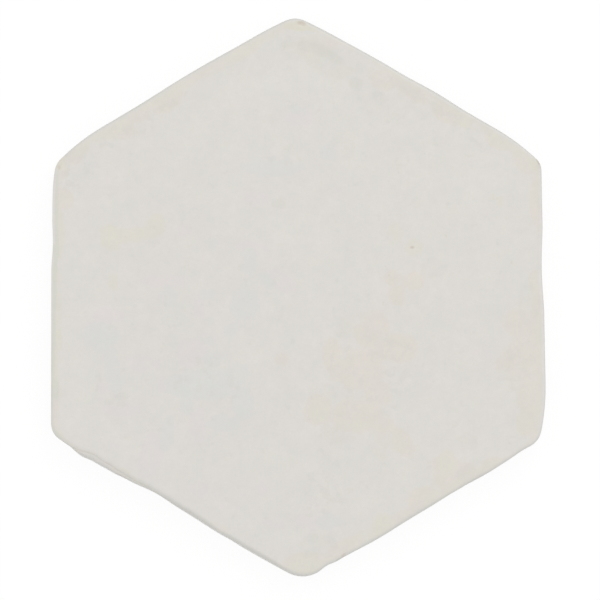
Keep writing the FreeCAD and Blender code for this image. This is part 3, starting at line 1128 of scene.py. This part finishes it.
# %% [markdown]
# ## The floor
# The photograph has pure white around the tile. A white floor under soft light falls a little short of
# white, so what the camera and the reflections see is mostly light of its own. The rest is an ordinary
# white surface, which keeps the tile's soft shadow. To light on its way from one surface to another it is a
# plain pale floor.

# %% Floor
FLOOR_SIZE = 8.0
FLOOR_GAP = 0.1 * MM  # the floor lies this far below the bed

half = FLOOR_SIZE / 2
corners = [(x * half, y * half, -FLOOR_GAP) for x, y in ((-1, -1), (1, -1), (1, 1), (-1, 1))]
floor_mesh = bpy.data.meshes.new("floor")
floor_mesh.from_pydata(corners, [], [(0, 1, 2, 3)])
floor = bpy.data.objects.new("floor", floor_mesh)
bpy.context.scene.collection.objects.link(floor)
print("floor in m:", FLOOR_SIZE, "across")


# %% White where it is seen
FLOOR_WHITE = 0.50  # how pale the floor is to light on its way
FLOOR_SEEN = 0.10  # the share of what the camera sees that is the floor's own white under the light
FLOOR_SPARE = 0.01  # a little more light of its own, so that it doesn't fall short of white


def seen_white(add):
    """1 for what the camera sees, also in a reflection or through glass, and 0 for light on its way."""
    ray = add("ShaderNodeLightPath")
    seen = ray.outputs["Is Camera Ray"]
    for other in ("Is Glossy Ray", "Is Transmission Ray"):
        seen = add("ShaderNodeMath", {0: seen, 1: ray.outputs[other]}, operation="MAXIMUM").outputs["Value"]
    return seen


white, floor_shader, add, links = new_material("white_floor")
seen = seen_white(add)
floor_colour = towards(add, seen, (FLOOR_WHITE,) * 3, (FLOOR_SEEN,) * 3)
links.new(floor_colour, floor_shader.inputs["Base Color"])
links.new(times(add, seen, 1 - FLOOR_SEEN + FLOOR_SPARE), floor_shader.inputs["Emission Strength"])
floor_shader.inputs["Emission Color"].default_value = (1, 1, 1, 1)
floor_shader.inputs["Roughness"].default_value = 1.0
floor_shader.inputs["Specular IOR Level"].default_value = 0.0
floor_mesh.materials.append(white)
print("light of the floor's own:", round(1 - FLOOR_SEEN + FLOOR_SPARE, 2))

# %% [markdown]
# ## The light
# A flat surface under an even sky of strength 1 renders at the colour it is written in. The sky here gives
# most of that, and a soft box above the top of the tile gives the rest, so the lower walls are a little
# darker, as in the photograph. The box is near enough that the top of the tile gets slightly more of its
# light than the bottom. Past the floor's edge the camera sees the sky itself, which is plain white there.

# %% Sky
SKY_SHARE = 0.87

world = bpy.data.worlds.new("sky")
world.use_nodes = True
bpy.context.scene.world = world
add = node_adder(world.node_tree)
strength = add("ShaderNodeMapRange", {"Value": seen_white(add), "To Min": SKY_SHARE, "To Max": 1.0})
sky = world.node_tree.nodes["Background"]
sky.inputs["Color"].default_value = (1, 1, 1, 1)
world.node_tree.links.new(strength.outputs["Result"], sky.inputs["Strength"])
print("share of the light from the sky:", SKY_SHARE)

# %% Soft box
BOX_TURN = 65.0  # which way it lies from the tile, in degrees anticlockwise from +X
BOX_RISE = 50.0  # how high it stands above the floor, in degrees
BOX_DISTANCE = 2.0
BOX_SIZE = 1.3

# An even sky of strength s gives pi s on the floor, and a lamp of power P gives P sin(rise) / (pi distance
# squared), so this power makes up the share that the sky leaves.
rise, turn = np.radians(BOX_RISE), np.radians(BOX_TURN)
box_data = bpy.data.lights.new("soft_box", "AREA")
box_data.size = BOX_SIZE
box_data.energy = (1 - SKY_SHARE) * np.pi**2 * BOX_DISTANCE**2 / np.sin(rise)
box = bpy.data.objects.new("soft_box", box_data)
towards_box = np.array([np.cos(rise) * np.cos(turn), np.cos(rise) * np.sin(turn), np.sin(rise)])
box.location = BOX_DISTANCE * towards_box
box.rotation_euler = (np.pi / 2 - rise, 0, turn + np.pi / 2)
bpy.context.scene.collection.objects.link(box)
print("soft box power:", round(box_data.energy, 3))

bpy.context.scene.view_settings.view_transform = "Standard"
